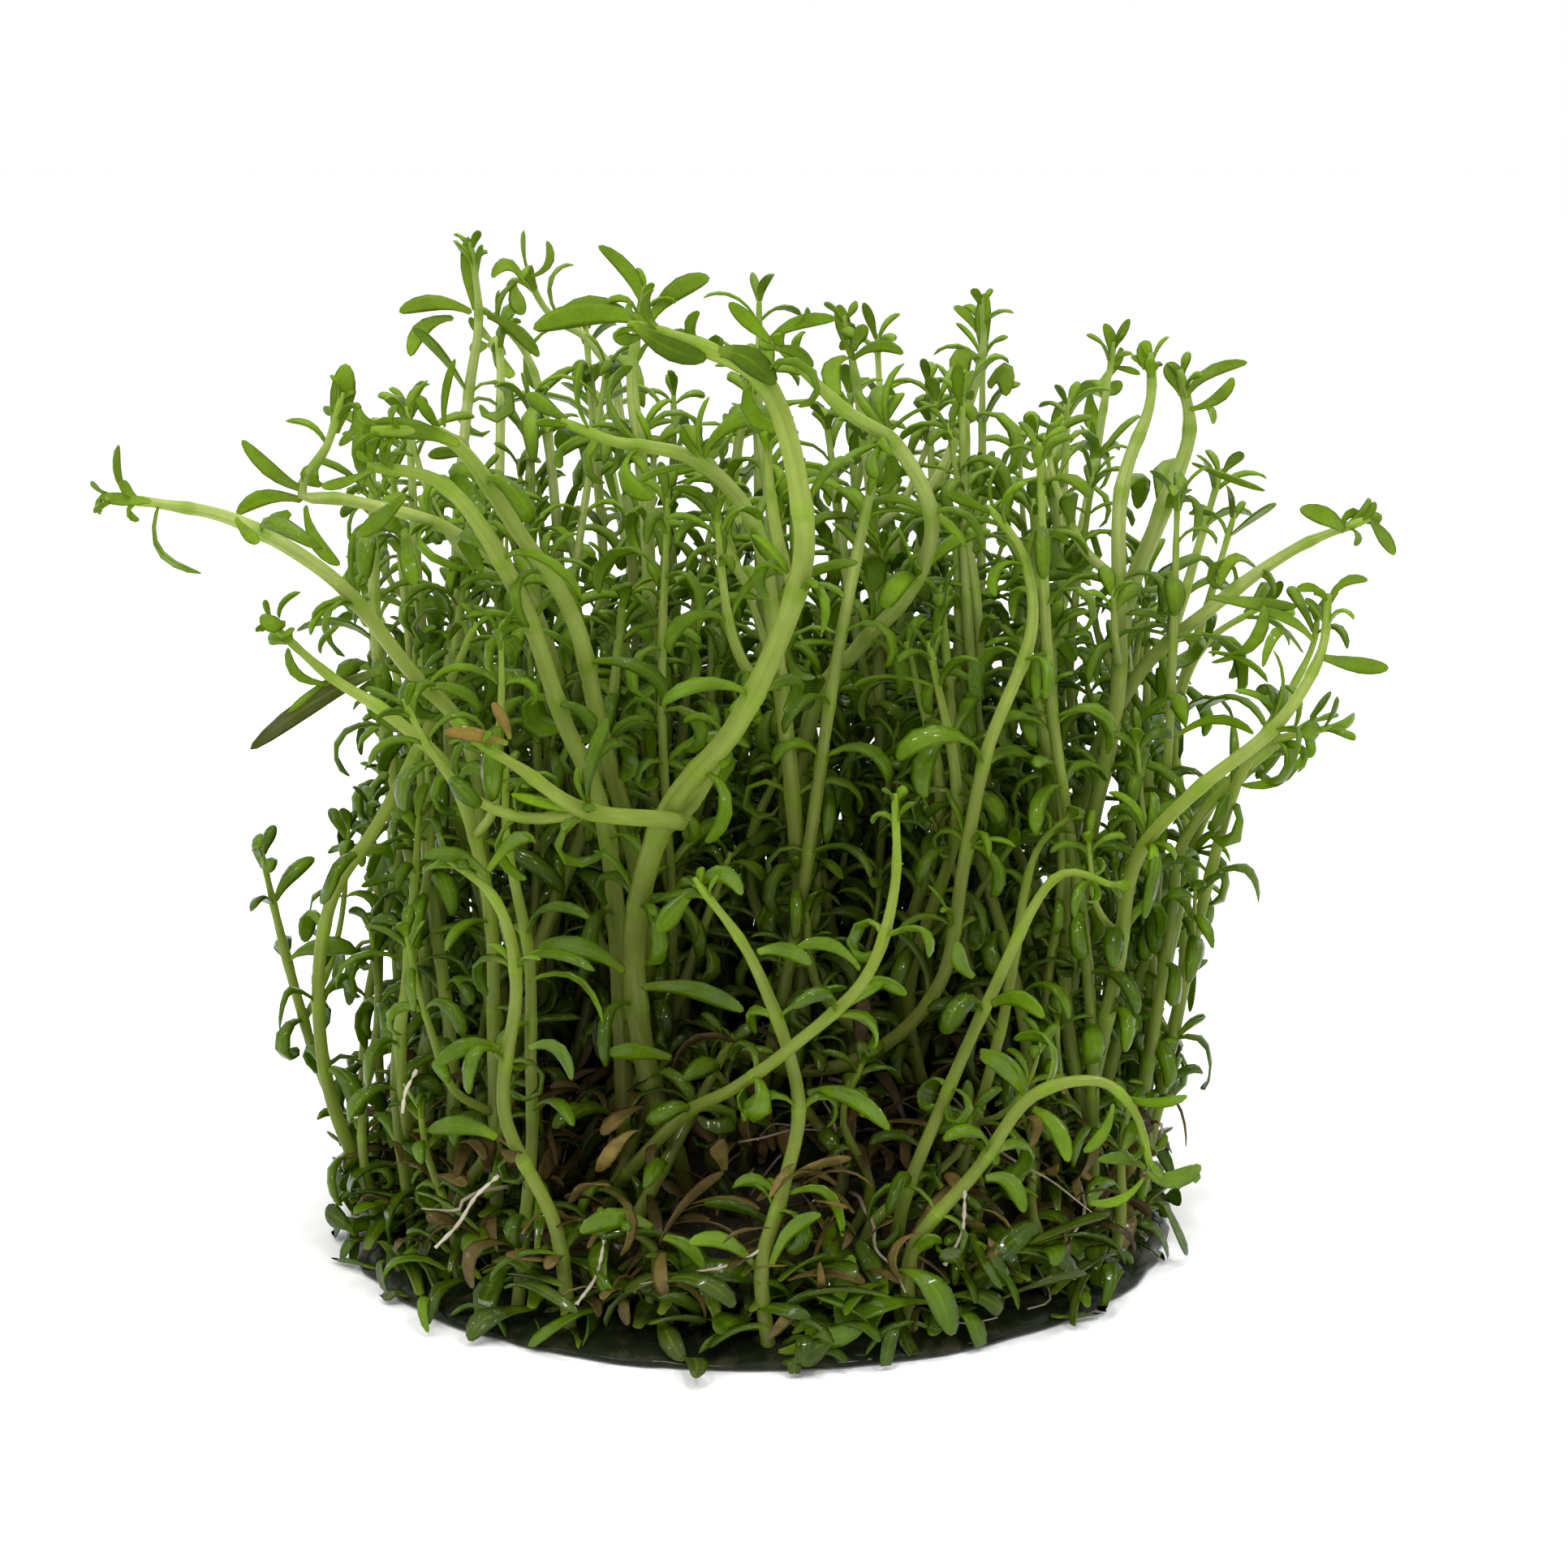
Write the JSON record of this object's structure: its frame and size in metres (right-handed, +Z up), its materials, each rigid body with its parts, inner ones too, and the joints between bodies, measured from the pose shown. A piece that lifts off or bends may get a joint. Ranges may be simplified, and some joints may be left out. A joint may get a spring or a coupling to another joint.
{
  "type": "tissue-culture clump of narrow-leaved stem aquarium plants",
  "caption": "Clump of slender leafy aquarium stems rising and spreading from a thin round pad of culture gel and a mat of roots, as taken out of its culture cup.",
  "frame": {"origin": "middle of the gel pad's flat underside, on the surface it rests on", "axes": "+Z up along the stems; -Y is the side shown in front; +X to the right seen from there"},
  "size_m": [0.0884, 0.0844, 0.075],
  "materials": {
    "gel": "wet, glossy, almost black green",
    "root_mat": "damp brown dead leaves and roots",
    "shoot": "pale yellow-green smooth stems with fresh green fleshy leaves, damp",
    "dead_leaf": "brown, blotched, damp",
    "root": "cream, fine, damp"
  },
  "bodies": {
    "root": {"gel_pad": "gel", "root_mat": "root_mat", "plantlet_front_1": "shoot", "plantlet_front_2": "shoot", "plantlet_front_3": "shoot", "plantlet_front_4": "shoot", "plantlet_front_5": "shoot", "plantlet_front_6": "shoot", "plantlet_front_7": "shoot", "plantlet_front_8": "shoot", "plantlet_front_9": "shoot", "plantlet_front_10": "shoot", "plantlet_front_11": "shoot", "plantlet_heart_1": "shoot", "plantlet_heart_1_fork": "shoot", "plantlet_heart_2": "shoot", "plantlet_heart_3": "shoot", "plantlet_heart_4": "shoot", "plantlet_heart_5": "shoot", "plantlet_heart_6": "shoot", "plantlet_heart_7": "shoot", "plantlet_left_1": "shoot", "plantlet_left_2": "shoot", "plantlet_left_3": "shoot", "plantlet_left_4": "shoot", "plantlet_left_5": "shoot", "plantlet_right_1": "shoot", "plantlet_right_2": "shoot", "plantlet_right_3": "shoot", "plantlet_right_4": "shoot", "plantlet_right_5": "shoot", "plantlet_right_6": "shoot", "plantlet_crown_1": "shoot", "plantlet_crown_2": "shoot", "plantlet_crown_3": "shoot", "plantlet_crown_4": "shoot", "plantlet_crown_5": "shoot", "plantlet_crown_6": "shoot", "plantlet_crown_7": "shoot", "plantlet_crown_8": "shoot", "plantlet_crown_9": "shoot", "plantlet_crown_10": "shoot", "plantlet_crown_11": "shoot", "plantlet_crown_12": "shoot", "plantlet_back_1": "shoot", "plantlet_back_2": "shoot", "plantlet_back_3": "shoot", "plantlet_back_4": "shoot", "plantlet_back_5": "shoot", "plantlet_back_6": "shoot", "plantlet_back_7": "shoot", "plantlet_back_8": "shoot", "plantlet_back_9": "shoot", "plantlet_back_10": "shoot", "plantlet_back_11": "shoot", "plantlet_back_12": "shoot", "plantlet_back_13": "shoot", "plantlet_back_14": "shoot", "plantlet_back_15": "shoot", "plantlet_back_16": "shoot"}
  },
  "joints": []
}
